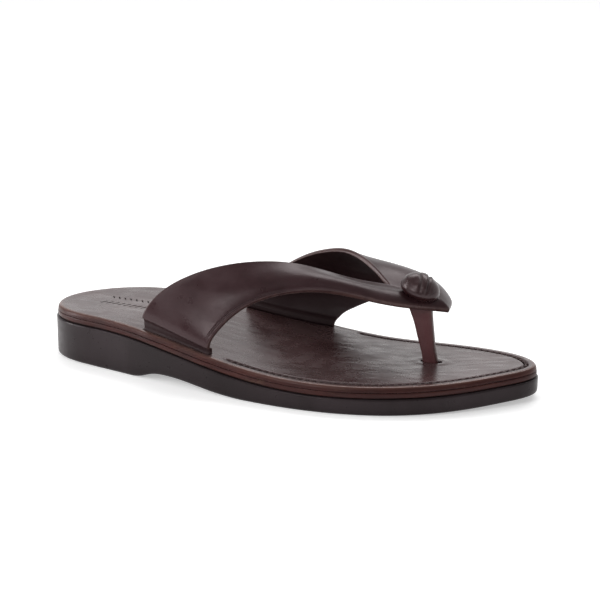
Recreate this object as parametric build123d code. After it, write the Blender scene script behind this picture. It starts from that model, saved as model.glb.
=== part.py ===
from build123d import *
import math
import os

# A right-foot leather toe-post sandal (flip flop): a moulded rubber outsole with a low heel, a leather
# midsole and insole, a one-piece leather vamp held in two side slots, and a leather toe post that passes
# through a slit in the vamp and ends in a knot on top of it.
#
# Drawing coordinates, in millimetres: x runs from the back of the heel to the toe, y is positive towards
# the inner (medial) side of the foot, z is up from the ground. The finished parts are moved together so
# that the origin is on the ground at the middle of the sandal's length and width.

# --- driving dimensions -------------------------------------------------------------------------------------
RUBBER_MARGIN = 2.2          # the outsole stands out from the insole by this much
MIDSOLE_MARGIN = 1.4         # and the midsole by this much
HEEL_RUBBER = 23.4           # outsole thickness under the heel
FORE_RUBBER = 9.4            # outsole thickness under the ball
TOE_SPRING = 3.2             # lift of the toe's tip off the ground
MIDSOLE_THICK = 3.4
INSOLE_THICK = 3.2
VAMP_THICK = 2.8
TAB_THICK = 2.2
POST_THICK = 3.4
SLOT_PLAY = 0.5              # room around a strap in its slot
SLOT_FLARE = 1.3             # extra length and outward room at a side slot, where the strap fans out
RECESS_PLAY = 0.2            # room around a tab in the midsole's recess
HALF_SPAN = 90.0             # half width of the cutting sheets, past both sides of the sole

# Heel and arch, along the foot.
HEEL_BREAST_X = 67.0         # front of the heel's ground contact
ARCH_X = 88.0                # top of the arch
ARCH_LIFT = 4.6
BALL_X = 142.0               # where the forefoot meets the ground
SPRING_X = 222.0             # where the toe starts to lift

# Tread: grooves across the heel and the ball.
TREAD_ZONES = ((12, 60), (152, 264))
TREAD_DEPTH = 1.4
TREAD_WIDTH = 2.2
TREAD_PITCH = 8.0
TREAD_BORDER = 7.0           # plain rim around the tread

# Stitching along the insole's front edge.
STITCH_INSET = 4.6
STITCH_PITCH = 4.2
STITCH_LENGTH = 3.2
THREAD_RADIUS = 0.45
GROOVE_WIDTH = 1.6
GROOVE_DEPTH = 0.8
OUTER_STITCH_START = 126.0
INNER_STITCH_START = 169.0

# Nails and tacks.
NAIL_HEAD_THICK = 0.8
HEEL_NAIL_LENGTH = 16.0
TACK_LENGTH = 2.8
HEEL_NAIL_PLACES = [(18, 0), (34, 20), (34, -20), (54, 18), (54, -22)]

# Side slots: each is the plan line of the strap's outer face, from its back end to its front end.
OUTER_SLOT = ((71.5, -44.3), (118, -52.3))
INNER_SLOT = ((97, 36.7), (151, 43.1))
TAB_REACH = 15.0             # how far a turned-in strap end runs under the insole

# Toe post: sections up the strip as (back x, front x, y, z), then the knot that holds the vamp down.
POST_BASE = (228.2, 5.0)
POST_BASE_WIDTH = 8.6
TAIL_REACH = 18.0
POST_SECTIONS = [(223.9, 232, 5, 17), (220.6, 230.6, 4.4, 30), (216, 229.2, 3.6, 46), (213.5, 228.5, 3, 58)]
KNOT_CENTRE = (222, 3, 61.4)
KNOT_HALF_SIZE = (11.0, 8.5, 5.6)
KNOT_TILT = 16.0             # the knot leans with the leather under it, degrees nose down
POST_SLIT = (211.8, 230.6, 1.2, 6.9)        # slit in the vamp: x from, x to, y from, y to

# Vamp: one piece of leather. Its back edge runs from the outer slot up to the throat and down to the inner
# slot, and its front edge runs through the beak over the toes. Each list is one side's edge.
THROAT = (203, 4, 58.6)
BEAK = Vector(237.8, 8, 47.2)
OUTER_BACK = [(73, -46.8, 37), (82, -45.2, 51), (98, -40.5, 62), (126, -30, 70.6), (156, -16, 70), (183, -5, 62.5)]
OUTER_FRONT = [(119, -53.6, 28), (125, -50.5, 39), (137, -43.5, 50), (156, -33, 57), (179, -24, 58.4),
               (206, -16, 54.6)]
INNER_BACK = [(190, 12, 65.5), (171, 22, 71), (152, 31, 67.8), (133, 38, 60), (114, 41, 48), (101, 39.5, 36)]
INNER_FRONT = [(228, 32, 46.5), (206, 42, 44.5), (186, 47.5, 40), (171, 49.3, 34), (160.5, 48.7, 28), (153, 45.4, 22)]
VAMP_DIP = 0.8               # how far the vamp reaches into its slots
CROWNS = [(0, 0), (0.25, 2.6), (0.6, 2.8), (1, 3.5), (1.12, 6.3), (1.5, 5.5), (1.75, 4.2), (2, 0)]
                             # rise of the leather between its edges, from the outer slot (0) over the centre
                             # line (1) to the inner slot (2)
CROWN_LEAN = 1.8             # above 1, the rise peaks nearer the front edge
SECTIONS_PER_SIDE = 16
CROWN_STEPS = 6

# --- the sole's plan outline and side profile ---------------------------------------------------------------
# Insole outline, from the back of the heel along the outer side to the toe and back along the inner side.
INSOLE_OUTLINE = [
    (-1.5, -8), (2, -21.5), (15, -33), (38, -39), (80, -48), (122, -55.5), (162, -60), (198, -57.5),
    (230, -46.5), (257, -28), (277, -6), (286.5, 12), (277, 28), (257, 38.5), (232, 42.5), (190, 41.5),
    (148, 45), (110, 42.5), (76, 38), (38, 34.5), (11, 18.5),
]

OUTLINE_STATIONS = 40        # points that carry an outline grown by a margin

# Height of the outsole's upper face along the foot, from behind the heel to past the toe.
SEAT_PROFILE = [(-12, HEEL_RUBBER), (30, HEEL_RUBBER + 0.2), (62, HEEL_RUBBER - 0.8), (92, 19.1), (122, 14.3),
                (152, 10.9), (182, FORE_RUBBER), (225, FORE_RUBBER + 0.2), (258, FORE_RUBBER + 1.3),
                (300, FORE_RUBBER + TOE_SPRING + 1.2)]


def outline_curve(margin=0.0):
    """The insole's plan outline as a closed curve, grown by margin."""
    closed = Spline(*INSOLE_OUTLINE, periodic=True)
    if margin == 0:
        return closed
    points = []
    for i in range(OUTLINE_STATIONS):
        point, along = closed @ (i / OUTLINE_STATIONS), closed % (i / OUTLINE_STATIONS)
        points.append(point + Vector(along.Y, -along.X, 0) * margin)
    return Spline(*points, periodic=True)


def outline_face(margin=0.0):
    closed = outline_curve(margin)
    return make_face([closed.trim(0, 0.5), closed.trim(0.5, 1)])


def seat_curve(lift):
    """The side profile of the outsole's upper face, raised by lift."""
    return Spline(*[(x, 0, z + lift) for x, z in SEAT_PROFILE])


def slab(low, high):
    """A sheet that follows the seat between two heights above it, wider than the sole."""
    lower, upper = seat_curve(low), seat_curve(high)
    ends = [Line(lower @ 0, upper @ 0), Line(lower @ 1, upper @ 1)]
    side = make_face(Wire([lower.edge(), ends[1].edge(), upper.edge(), ends[0].edge()]))
    return extrude(side, amount=HALF_SPAN, dir=(0, 1, 0), both=True)


def column(face):
    """A tall prism on a plan face."""
    return extrude(face, amount=80)


def sheet(face, low, high):
    """The part of the sheet between two heights above the seat that lies on a plan face."""
    return column(face) & slab(low, high)


def seat_height(x):
    """Height of the outsole's upper face at x."""
    line = Plane(origin=(x, 0, 0), x_dir=(0, 0, 1), z_dir=(1, 0, 0))
    return (seat_curve(0).edge() & line).center().Z


MIDSOLE_TOP = MIDSOLE_THICK
INSOLE_TOP = MIDSOLE_THICK + INSOLE_THICK


# --- outsole ------------------------------------------------------------------------------------------------
def ground_body():
    """Everything between the outsole's underside profile and its upper face."""
    toe_x, toe_z = SEAT_PROFILE[-1][0], TOE_SPRING + 1.2
    under = [
        Line((-12, 0, 0), (HEEL_BREAST_X, 0, 0)),
        Spline((HEEL_BREAST_X, 0, 0), (ARCH_X, 0, ARCH_LIFT), (BALL_X, 0, 0),
               tangents=[(1, 0, 0.25), (1, 0, 0)]),
        Line((BALL_X, 0, 0), (SPRING_X, 0, 0)),
        Spline((SPRING_X, 0, 0), (toe_x, 0, toe_z), tangents=[(1, 0, 0), (1, 0, 0.1)]),
    ]
    top = seat_curve(0)
    sides = [Line(under[-1] @ 1, top @ 1), Line(top @ 0, under[0] @ 0)]
    edges = [c.edge() for c in (*under, sides[0], top, sides[1])]
    return extrude(make_face(Wire(edges)), amount=HALF_SPAN, dir=(0, 1, 0), both=True)


def tread():
    """Straight grooves across the heel and the ball, inside a plain rim."""
    grooves = []
    for start, end in TREAD_ZONES:
        for i in range(int((end - start) / TREAD_PITCH) + 1):
            x = start + i * TREAD_PITCH
            grooves.append(Pos(x, 0, TREAD_DEPTH / 2) * Box(TREAD_WIDTH, 2 * HALF_SPAN, TREAD_DEPTH))
    return Compound(grooves) & column(outline_face(-TREAD_BORDER))


def make_outsole():
    body = column(outline_face(RUBBER_MARGIN)) & ground_body()
    body = body - tread()
    for x, y in HEEL_NAIL_PLACES:
        body = body - heel_nail(x, y)
    return body


# --- nails and tacks ----------------------------------------------------------------------------------------
def nail(x, y, top, head_radius, shank_radius, length):
    """A flat-headed nail, driven straight down, with its head's upper face at the height given."""
    head = Pos(x, y, top - NAIL_HEAD_THICK / 2) * Cylinder(head_radius, NAIL_HEAD_THICK)
    shank = Pos(x, y, top - length / 2) * Cylinder(shank_radius, length)
    return head + shank


def heel_nail(x, y):
    """Holds the rubber heel to the midsole."""
    return nail(x, y, seat_height(x) + MIDSOLE_TOP - 0.3, 2.2, 0.8, HEEL_NAIL_LENGTH)


def tack(x, y):
    """Pins a turned-in strap end to the midsole."""
    return nail(x, y, seat_height(x) + MIDSOLE_TOP - 0.3, 1.4, 0.5, TACK_LENGTH)


def tab_tack_places():
    """Three tacks along the middle of each vamp tab."""
    places = []
    for (x0, y0), (x1, y1) in (OUTER_SLOT, INNER_SLOT):
        inward = TAB_REACH / 2 if y0 < 0 else -TAB_REACH / 2
        places += [(x0 + (x1 - x0) * share, y0 + (y1 - y0) * share + inward) for share in (0.2, 0.5, 0.8)]
    return places


def post_tack_places():
    """Two tacks through the toe post's tail."""
    x, y = POST_BASE
    return [(x, y - TAIL_REACH * share) for share in (0.45, 0.8)]


def fasteners(make_one, places):
    return Compound([make_one(x, y) for x, y in places])


# --- vamp tabs, midsole and insole ----------------------------------------------------------------------------
def strip(ends, inside, outside):
    """The plan strip beside a slot's line, reaching in towards the sole's centre line and out from it."""
    (x0, y0), (x1, y1) = ends
    inward = 1 if y0 < 0 else -1
    points = [(x0, y0 - inward * outside), (x1, y1 - inward * outside),
              (x1, y1 + inward * inside), (x0, y0 + inward * inside)]
    return make_face(Polyline(*points, close=True))


def lengthened(ends, amount, flare=0.0):
    """A slot's line with both ends moved outwards along x, and its front end by the flare as well."""
    (x0, y0), (x1, y1) = ends
    return ((x0 - amount, y0), (x1 + amount + flare, y1))


def tab_plan(ends, play=0.0):
    return strip(lengthened(ends, play), TAB_REACH + play, play)


def tail_plan(play=0.0):
    """The toe post's tail, turned towards the outer side under the insole."""
    x, y = POST_BASE
    half = POST_BASE_WIDTH / 2 + play
    low, high = y - TAIL_REACH - play, y + POST_THICK / 2 + play
    return make_face(Polyline((x - half, low), (x + half, low), (x + half, high), (x - half, high), close=True))


def make_tab(ends):
    """A vamp end, turned in between the insole and the midsole."""
    body = sheet(tab_plan(ends), MIDSOLE_TOP - TAB_THICK, MIDSOLE_TOP)
    return body - fasteners(tack, tab_tack_places())


def make_midsole():
    body = sheet(outline_face(MIDSOLE_MARGIN), 0, MIDSOLE_TOP)
    recess = slab(MIDSOLE_TOP - TAB_THICK, MIDSOLE_TOP + 1)
    for plan in (tab_plan(OUTER_SLOT, RECESS_PLAY), tab_plan(INNER_SLOT, RECESS_PLAY), tail_plan(RECESS_PLAY)):
        body = body - (column(plan) & recess)
    for tool in (fasteners(tack, tab_tack_places()), fasteners(tack, post_tack_places()),
                 fasteners(heel_nail, HEEL_NAIL_PLACES)):
        body = body - tool
    return body


def stitched(x, y):
    """The stitch line starts in front of each strap."""
    return x > STITCH_LENGTH + (OUTER_STITCH_START if y < 0 else INNER_STITCH_START)


def stitch_groove():
    ring = outline_face(GROOVE_WIDTH / 2 - STITCH_INSET) - outline_face(-GROOVE_WIDTH / 2 - STITCH_INSET)
    groove = sheet(ring, INSOLE_TOP - GROOVE_DEPTH, INSOLE_TOP + 1)
    reach = SEAT_PROFILE[-1][0]
    outer_side = Pos(OUTER_STITCH_START + reach / 2, -reach / 2, 0) * Box(reach, reach, reach)
    inner_side = Pos(INNER_STITCH_START + reach / 2, reach / 2, 0) * Box(reach, reach, reach)
    return groove & (outer_side + inner_side)


def make_insole():
    body = sheet(outline_face(), MIDSOLE_TOP, INSOLE_TOP)
    for ends in (OUTER_SLOT, INNER_SLOT):
        slot_line = lengthened(ends, SLOT_PLAY, SLOT_FLARE)
        body = body - column(strip(slot_line, VAMP_THICK + SLOT_PLAY, SLOT_PLAY + SLOT_FLARE / 2))
    x, y = POST_BASE
    body = body - Pos(x, y, 30) * Box(POST_BASE_WIDTH + 2 * SLOT_PLAY, POST_THICK + 2 * SLOT_PLAY, 80)
    return body - stitch_groove()


def make_stitches():
    """One short length of thread per stitch, lying in the groove."""
    wire = outline_curve(-STITCH_INSET)
    count = round(wire.length / STITCH_PITCH)
    stitches = []
    for i in range(count):
        point, along = wire @ (i / count), wire % (i / count)
        if stitched(point.X, point.Y):
            slope = seat_height(point.X + 0.5) - seat_height(point.X - 0.5)
            lie = Plane(origin=(point.X, point.Y, seat_height(point.X) + INSOLE_TOP - THREAD_RADIUS / 2),
                        z_dir=(along.X, along.Y, slope * along.X))
            stitches.append(lie * Cylinder(THREAD_RADIUS, STITCH_LENGTH))
    return Compound(stitches)


# --- vamp -------------------------------------------------------------------------------------------------
def section_points(points, count):
    """Evenly spread points on a smooth curve through the given ones."""
    curve = Spline(*points)
    return [curve @ (i / count) for i in range(count + 1)]


def crown(station):
    """Rise of the leather at a station across the foot."""
    for (start, low), (end, high) in zip(CROWNS, CROWNS[1:]):
        if station <= end:
            return low + (high - low) * (station - start) / (end - start)
    return CROWNS[-1][1]


def vamp_section(back, front, along, rise):
    """The strap's cross-section between its back and front edges, crowned and of even thickness."""
    across = front - back
    normal = across.cross(along).normalized()
    shares = [i / CROWN_STEPS for i in range(CROWN_STEPS + 1)]
    leaning = [s ** CROWN_LEAN for s in shares]
    outer = [back + across * s + normal * (rise * 4 * k * (1 - k)) for s, k in zip(shares, leaning)]
    inner = [p - normal * VAMP_THICK for p in reversed(outer)]
    return make_face(Polyline(*outer, *inner, close=True))


def vamp_side(backs, fronts, first_station):
    """One side of the vamp as a row of ruled panels, from its first section to its last."""
    middles = [(b + f) / 2 for b, f in zip(backs, fronts)]
    sections = []
    for i in range(SECTIONS_PER_SIDE + 1):
        if (fronts[i] - BEAK).length < 0.01:
            along = Vector(0, 1, 0)
        else:
            along = middles[min(i + 1, SECTIONS_PER_SIDE)] - middles[max(i - 1, 0)]
        rise = crown(first_station + i / SECTIONS_PER_SIDE)
        sections.append(vamp_section(backs[i], fronts[i], along, rise))
    return loft(sections, ruled=True)


def slot_foot(ends, index):
    """Where the vamp's back (0) or front (1) edge enters a slot."""
    x, y = ends[index]
    return (x, y, seat_height(x) + INSOLE_TOP - VAMP_DIP)


def make_vamp():
    outer = vamp_side(
        section_points([slot_foot(OUTER_SLOT, 0), *OUTER_BACK, THROAT], SECTIONS_PER_SIDE),
        section_points([slot_foot(OUTER_SLOT, 1), *OUTER_FRONT, BEAK], SECTIONS_PER_SIDE), 0)
    inner = vamp_side(
        section_points([THROAT, *INNER_BACK, slot_foot(INNER_SLOT, 0)], SECTIONS_PER_SIDE),
        section_points([BEAK, *INNER_FRONT, slot_foot(INNER_SLOT, 1)], SECTIONS_PER_SIDE), 1)
    x0, x1, y0, y1 = POST_SLIT
    slit = Pos((x0 + x1) / 2, (y0 + y1) / 2, 56) * Box(x1 - x0, y1 - y0, 30)
    return outer + inner - slit


# --- toe post -----------------------------------------------------------------------------------------------
def post_section(x_back, x_front, y, z):
    half = POST_THICK / 2
    return make_face(Polyline((x_back, y - half, z), (x_front, y - half, z),
                              (x_front, y + half, z), (x_back, y + half, z), close=True))


def make_toe_post():
    """A tapered leather strip with its tail turned in under the insole and a knot above the vamp."""
    x, y = POST_BASE
    half = POST_BASE_WIDTH / 2
    foot = seat_height(x) + MIDSOLE_TOP
    root = post_section(x - half, x + half, y, foot - TAB_THICK / 2)
    strip_body = loft([root, *[post_section(*s) for s in POST_SECTIONS]], ruled=True)
    tail = sheet(tail_plan(), MIDSOLE_TOP - TAB_THICK, MIDSOLE_TOP)
    knot = Pos(*KNOT_CENTRE) * Rot(0, KNOT_TILT, 0) * scale(Sphere(1), by=KNOT_HALF_SIZE)
    return strip_body + tail + knot - fasteners(tack, post_tack_places())


# --- parts --------------------------------------------------------------------------------------------------
PARTS = {
    "outsole": make_outsole,
    "midsole": make_midsole,
    "insole": make_insole,
    "vamp": make_vamp,
    "vamp_tab_outer": lambda: make_tab(OUTER_SLOT),
    "vamp_tab_inner": lambda: make_tab(INNER_SLOT),
    "toe_post": make_toe_post,
    "edge_stitches": make_stitches,
    "heel_nails": lambda: fasteners(heel_nail, HEEL_NAIL_PLACES),
    "vamp_tab_tacks": lambda: fasteners(tack, tab_tack_places()),
    "toe_post_tacks": lambda: fasteners(tack, post_tack_places()),
}

parts = {name: make() for name, make in PARTS.items()}
middle = Compound(list(parts.values())).bounding_box().center()
os.makedirs("parts", exist_ok=True)
for name, part in parts.items():
    export_step(Pos(-middle.X, -middle.Y, 0) * part, f"parts/{name}.step")
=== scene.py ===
import math

import bmesh
import bpy
import numpy as np
from mathutils import Matrix, Vector, noise


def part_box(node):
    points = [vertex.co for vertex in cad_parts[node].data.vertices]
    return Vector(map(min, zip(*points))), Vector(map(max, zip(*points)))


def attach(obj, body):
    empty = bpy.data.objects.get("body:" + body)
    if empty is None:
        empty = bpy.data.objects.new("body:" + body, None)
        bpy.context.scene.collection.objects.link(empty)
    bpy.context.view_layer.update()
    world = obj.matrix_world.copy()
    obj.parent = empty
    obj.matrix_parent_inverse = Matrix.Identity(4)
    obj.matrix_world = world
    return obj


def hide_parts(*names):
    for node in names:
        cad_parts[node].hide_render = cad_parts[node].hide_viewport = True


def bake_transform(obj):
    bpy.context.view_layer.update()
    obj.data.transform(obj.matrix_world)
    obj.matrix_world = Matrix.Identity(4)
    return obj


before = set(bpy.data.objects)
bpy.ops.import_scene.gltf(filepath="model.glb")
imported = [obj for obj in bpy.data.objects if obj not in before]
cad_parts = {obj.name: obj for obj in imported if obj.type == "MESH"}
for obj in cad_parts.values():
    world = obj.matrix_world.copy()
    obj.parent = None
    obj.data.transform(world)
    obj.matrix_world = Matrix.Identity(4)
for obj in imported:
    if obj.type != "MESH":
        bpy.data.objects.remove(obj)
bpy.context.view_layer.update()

# Lengths below are in millimetres in the drawing's own coordinates: x from heel to toe, y towards
# the inner side of the foot, z up from the ground. to_row() turns them into metres in the row
# frame. Only node settings, the floor, the lights and the lens are in Blender's own units.

# --- the sole's shape ----------------------------------------------------------------------------
INSOLE_OUTLINE = [                      # plan of the footbed, from the heel along the outer side
    (-1.5, -8), (2, -21.5), (15, -33), (38, -39), (80, -48), (122, -55.5), (162, -60),
    (198, -57.5), (230, -46.5), (257, -28), (277, -6), (286.5, 12), (277, 28), (257, 38.5),
    (232, 42.5), (190, 41.5), (148, 45), (110, 42.5), (76, 38), (38, 34.5), (11, 18.5),
]
SEAT_PROFILE = [                        # (x, z) of the rubber's top
    (-12, 23.4), (30, 23.6), (62, 22.6), (92, 19.1), (122, 14.3), (152, 10.9), (182, 9.4),
    (225, 9.6), (258, 10.7), (300, 13.8),
]
UNDER_PROFILE = [                       # (x, z) of its underside: heel, arch, ball, toe spring
    (-20, 0), (40, 0), (64, 0), (70, 0.9), (78, 3.5), (88, 4.6), (100, 4.0), (120, 1.4), (140, 0),
    (180, 0), (222, 0), (245, 0.5), (270, 1.9), (300, 4.4),
]
RUBBER_MARGIN = 2.2                     # the rubber reaches this far past the footbed
MIDSOLE_TOP = 3.4                       # heights above the rubber's top
INSOLE_TOP = 6.6
LAYER_GAP = 0.02                        # keeps stacked layers from touching
STATIONS = 480                          # points round the sole

OUTER_SLOT = ((71.5, -44.3), (118, -52.3))
INNER_SLOT = ((97, 36.7), (151, 43.1))
VAMP_THICK = 2.8
POST_BASE = (228.0, 5.0)


def travel_along(points):
    """Distance travelled along a line of points, one value per point."""
    steps = np.linalg.norm(np.diff(points, axis=0), axis=1)
    return np.concatenate([[0], np.cumsum(steps)])


def sample(points, places, at):
    """The line of points read at other places along it."""
    return np.stack([np.interp(at, places, column) for column in points.T], axis=1)


def spline(points, count, closed=False, span_steps=40):
    """count + 1 evenly spaced points on a cubic spline through the given ones."""
    knots = np.array(points, float)
    if closed:
        knots = np.vstack([knots, knots[:1]])
    h = np.linalg.norm(np.diff(knots, axis=0), axis=1)
    slope = np.diff(knots, axis=0) / h[:, None]
    system = np.zeros((len(knots), len(knots)))
    right = np.zeros_like(knots)
    for i in range(1, len(knots) - 1):
        system[i, i - 1:i + 2] = h[i - 1], 2 * (h[i - 1] + h[i]), h[i]
        right[i] = 6 * (slope[i] - slope[i - 1])
    if closed:
        system[0, 0], system[0, -1] = 1, -1
        system[-1, :2] = 2 * h[0], h[0]
        system[-1, -2:] = h[-1], 2 * h[-1]
        right[-1] = 6 * (slope[0] - slope[-1])
    else:
        system[0, 0] = system[-1, -1] = 1
    bend = np.linalg.solve(system, right)
    dense = []
    for i, span in enumerate(h):
        start = knots[i] / span - bend[i] * span / 6
        end = knots[i + 1] / span - bend[i + 1] * span / 6
        for share in np.linspace(0, 1, span_steps, endpoint=False):
            done, left = share * span, (1 - share) * span
            curve = (bend[i] * left ** 3 + bend[i + 1] * done ** 3) / (6 * span)
            dense.append(curve + start * left + end * done)
    dense = np.array(dense + [knots[-1]])
    travel = travel_along(dense)
    return sample(dense, travel, np.linspace(0, travel[-1], count + 1))


def smooth(low, high, x):
    """0 up to low, 1 from high on, with an S-curve between."""
    t = np.clip((np.asarray(x, float) - low) / (high - low), 0, 1)
    return t * t * (3 - 2 * t)


def bell(offset, width, power=2):
    """1 where the offset is 0, falling to nothing over about the width."""
    return np.exp(-(offset / width) ** power)


SEAT = spline(SEAT_PROFILE, 400)
UNDER = spline(UNDER_PROFILE, 400)


def seat(x):
    """Height of the rubber's top."""
    return np.interp(x, SEAT[:, 0], SEAT[:, 1])


def under(x):
    """Height of the rubber's underside."""
    return np.interp(x, UNDER[:, 0], np.maximum(UNDER[:, 1], 0))


def footbed(x):
    """Height of the insole's top, without its relief."""
    return seat(x) + INSOLE_TOP


OUTLINE = spline(INSOLE_OUTLINE, STATIONS, closed=True)[:-1]
ALONG = np.roll(OUTLINE, -1, axis=0) - np.roll(OUTLINE, 1, axis=0)
ALONG /= np.linalg.norm(ALONG, axis=1)[:, None]
OUTWARD = np.stack([ALONG[:, 1], -ALONG[:, 0]], axis=1)
OUTER_SIDE = np.arange(STATIONS) < STATIONS // 2

MM = 1000                               # millimetres in a metre
plan_low = (OUTLINE + OUTWARD * RUBBER_MARGIN).min(axis=0)
cad_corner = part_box("outsole")[0]
SHIFT = np.array([cad_corner.x * MM - plan_low[0], cad_corner.y * MM - plan_low[1], 0])


def to_row(points):
    """Drawing millimetres to metres in the row frame."""
    return (np.asarray(points, float) + SHIFT) / MM


def noise_at(point, scale, seed):
    """Smooth noise between about -1 and 1, with scale in millimetres per axis."""
    x, y, z = (p / s for p, s in zip(point, scale))
    return noise.noise(Vector((x + seed, y - seed, z + 3 * seed)))


# --- mesh building -------------------------------------------------------------------------------
SHARP = 35                              # degrees


class Shell:
    """Vertices and faces gathered before they become one mesh.

    Marks are numbers per vertex that the materials read: rim (worn edges, lighter partly as a
    painted highlight), inside and fold (where shade is painted), and one that darkens the band
    where it meets the rubber and the insole.
    """

    def __init__(self):
        self.points, self.faces, self.marks = [], [], {}

    def add(self, points, **marks):
        """Adds a row of points and gives their indices."""
        start = len(self.points)
        self.points.extend(np.asarray(points, float))
        for name, values in marks.items():
            column = self.marks.setdefault(name, {})
            for i, value in enumerate(np.broadcast_to(values, len(points))):
                column[start + i] = float(value)
        return list(range(start, len(self.points)))

    def bridge(self, a, b, closed=True):
        """Joins two rows of equal length with quads."""
        for i in range(len(a) if closed else len(a) - 1):
            j = (i + 1) % len(a)
            self.faces.append((a[i], a[j], b[j], b[i]))

    def stack(self, rings):
        """Joins each ring to the next."""
        for a, b in zip(rings, rings[1:]):
            self.bridge(a, b)

    def cap(self, rings):
        """Closes the first and last ring with one flat face each."""
        self.faces += [tuple(reversed(rings[0])), tuple(rings[-1])]

    def fill(self, ring, columns, surface):
        """Closes a ring with rungs that join its two sides, bent to the surface function."""
        half = len(ring) // 2
        rows = []
        for j in range(1, half):
            left, right = self.points[ring[j]], self.points[ring[-j]]
            share = np.linspace(0, 1, columns + 1)[1:-1, None]
            inside = left * (1 - share) + right * share
            inside[:, 2] = [surface(x, y) for x, y in inside[:, :2]]
            rows.append([ring[j], *self.add(inside), ring[-j]])
        for a, b in zip(rows, rows[1:]):
            self.bridge(a, b, closed=False)
        for tip, row in ((ring[0], rows[0]), (ring[half], rows[-1])):
            for i in range(columns):
                self.faces.append((tip, row[i], row[i + 1]))

    def build(self, name, sharp=SHARP):
        mesh = bpy.data.meshes.new(name)
        mesh.from_pydata(to_row(self.points).tolist(), [], self.faces)
        for mark, column in self.marks.items():
            layer = mesh.attributes.new(mark, "FLOAT", "POINT")
            values = [column.get(i, 0.0) for i in range(len(self.points))]
            layer.data.foreach_set("value", values)
        bm = bmesh.new()
        bm.from_mesh(mesh)
        bmesh.ops.recalc_face_normals(bm, faces=bm.faces)
        bm.to_mesh(mesh)
        bm.free()
        obj = bpy.data.objects.new(name, mesh)
        bpy.context.scene.collection.objects.link(obj)
        soften(obj, sharp)
        return obj


def soften(obj, sharp):
    """Shades obj smooth, apart from edges sharper than the angle in degrees."""
    obj.data.polygons.foreach_set("use_smooth", [True] * len(obj.data.polygons))
    obj.data.set_sharp_from_angle(angle=math.radians(sharp))


def cut(obj, cutters, sharp):
    """Takes the cutters out of obj for good."""
    for cutter in cutters:
        modifier = obj.modifiers.new("cut", "BOOLEAN")
        modifier.object, modifier.operation, modifier.solver = cutter, "DIFFERENCE", "EXACT"
    graph = bpy.context.evaluated_depsgraph_get()
    mesh = bpy.data.meshes.new_from_object(obj.evaluated_get(graph))
    obj.modifiers.clear()
    obj.data = mesh
    for cutter in cutters:
        bpy.data.objects.remove(cutter)
    soften(obj, sharp)


def prism(shell, corners, low, high):
    """A straight-sided block on plan corners, between two heights (one pair per corner)."""
    ends = []
    for heights in (low, high):
        heights = np.broadcast_to(heights, len(corners))
        ends.append(shell.add([(*corner, z) for corner, z in zip(corners, heights)]))
    shell.stack(ends)
    shell.cap(ends)


# --- materials -----------------------------------------------------------------------------------
WHITE = (1, 1, 1)
WARM = (1, 0.84, 0.86)                  # leather's reflections


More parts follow.
